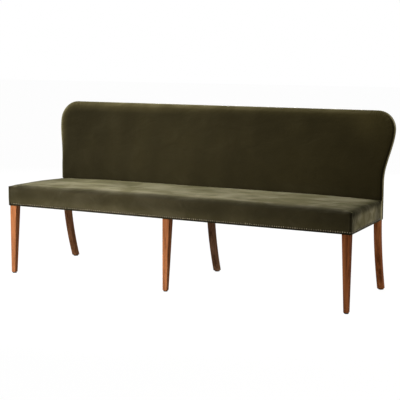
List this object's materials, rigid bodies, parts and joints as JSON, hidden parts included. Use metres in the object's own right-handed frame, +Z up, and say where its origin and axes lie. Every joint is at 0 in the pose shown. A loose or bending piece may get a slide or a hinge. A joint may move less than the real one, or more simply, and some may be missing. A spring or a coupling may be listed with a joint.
{
  "type": "dining bench",
  "caption": "Long upholstered dining bench with a tall flared velvet back, tight crowned seat, nailhead trim, tapered front legs and swept back legs.",
  "frame": {"origin": "on the floor, under the middle of the whole bench", "axes": "+X along the bench to the sitter's left, +Y from the seat towards the back, +Z up"},
  "size_m": [2.0374, 0.6129, 0.9337],
  "materials": {
    "leg_wood": "satin walnut-brown lacquer",
    "beech": "planed, unfinished",
    "velvet": "olive green velvet",
    "foam": "open cell foam",
    "wadding": "soft white fibre",
    "webbing": "woven",
    "hessian": "coarse weave",
    "dust_cloth": "black non-woven",
    "card": "plain card",
    "nailhead": "antiqued",
    "screw": "zinc plated",
    "glide": "matt black"
  },
  "bodies": {
    "root": {"front_leg_left": "leg_wood", "front_leg_centre": "leg_wood", "front_leg_right": "leg_wood", "back_leg_left": "leg_wood", "back_leg_centre": "leg_wood", "back_leg_right": "leg_wood", "foot_glides": "glide", "glide_nails": "screw", "front_rail": "beech", "back_rail_left": "beech", "back_rail_right": "beech", "side_rail_left": "beech", "side_rail_right": "beech", "cross_rail": "beech", "corner_blocks": "beech", "frame_screws": "screw", "seat_dowels": "beech", "seat_webbing_across": "webbing", "seat_webbing_along": "webbing", "seat_hessian": "hessian", "seat_foam": "foam", "seat_wadding": "wadding", "seat_cover": "velvet", "seat_nailheads": "nailhead", "dust_cover": "dust_cloth", "top_rail": "beech", "low_back_rail_left": "beech", "low_back_rail_right": "beech", "ear_left": "beech", "ear_right": "beech", "back_dowels": "beech", "back_webbing_upright": "webbing", "back_webbing_cross": "webbing", "back_hessian": "hessian", "back_foam": "foam", "back_wadding": "wadding", "inside_back_cover": "velvet", "back_border_cover": "velvet", "back_card": "card", "outside_back_cover": "velvet", "back_nailheads": "nailhead"}
  },
  "joints": []
}
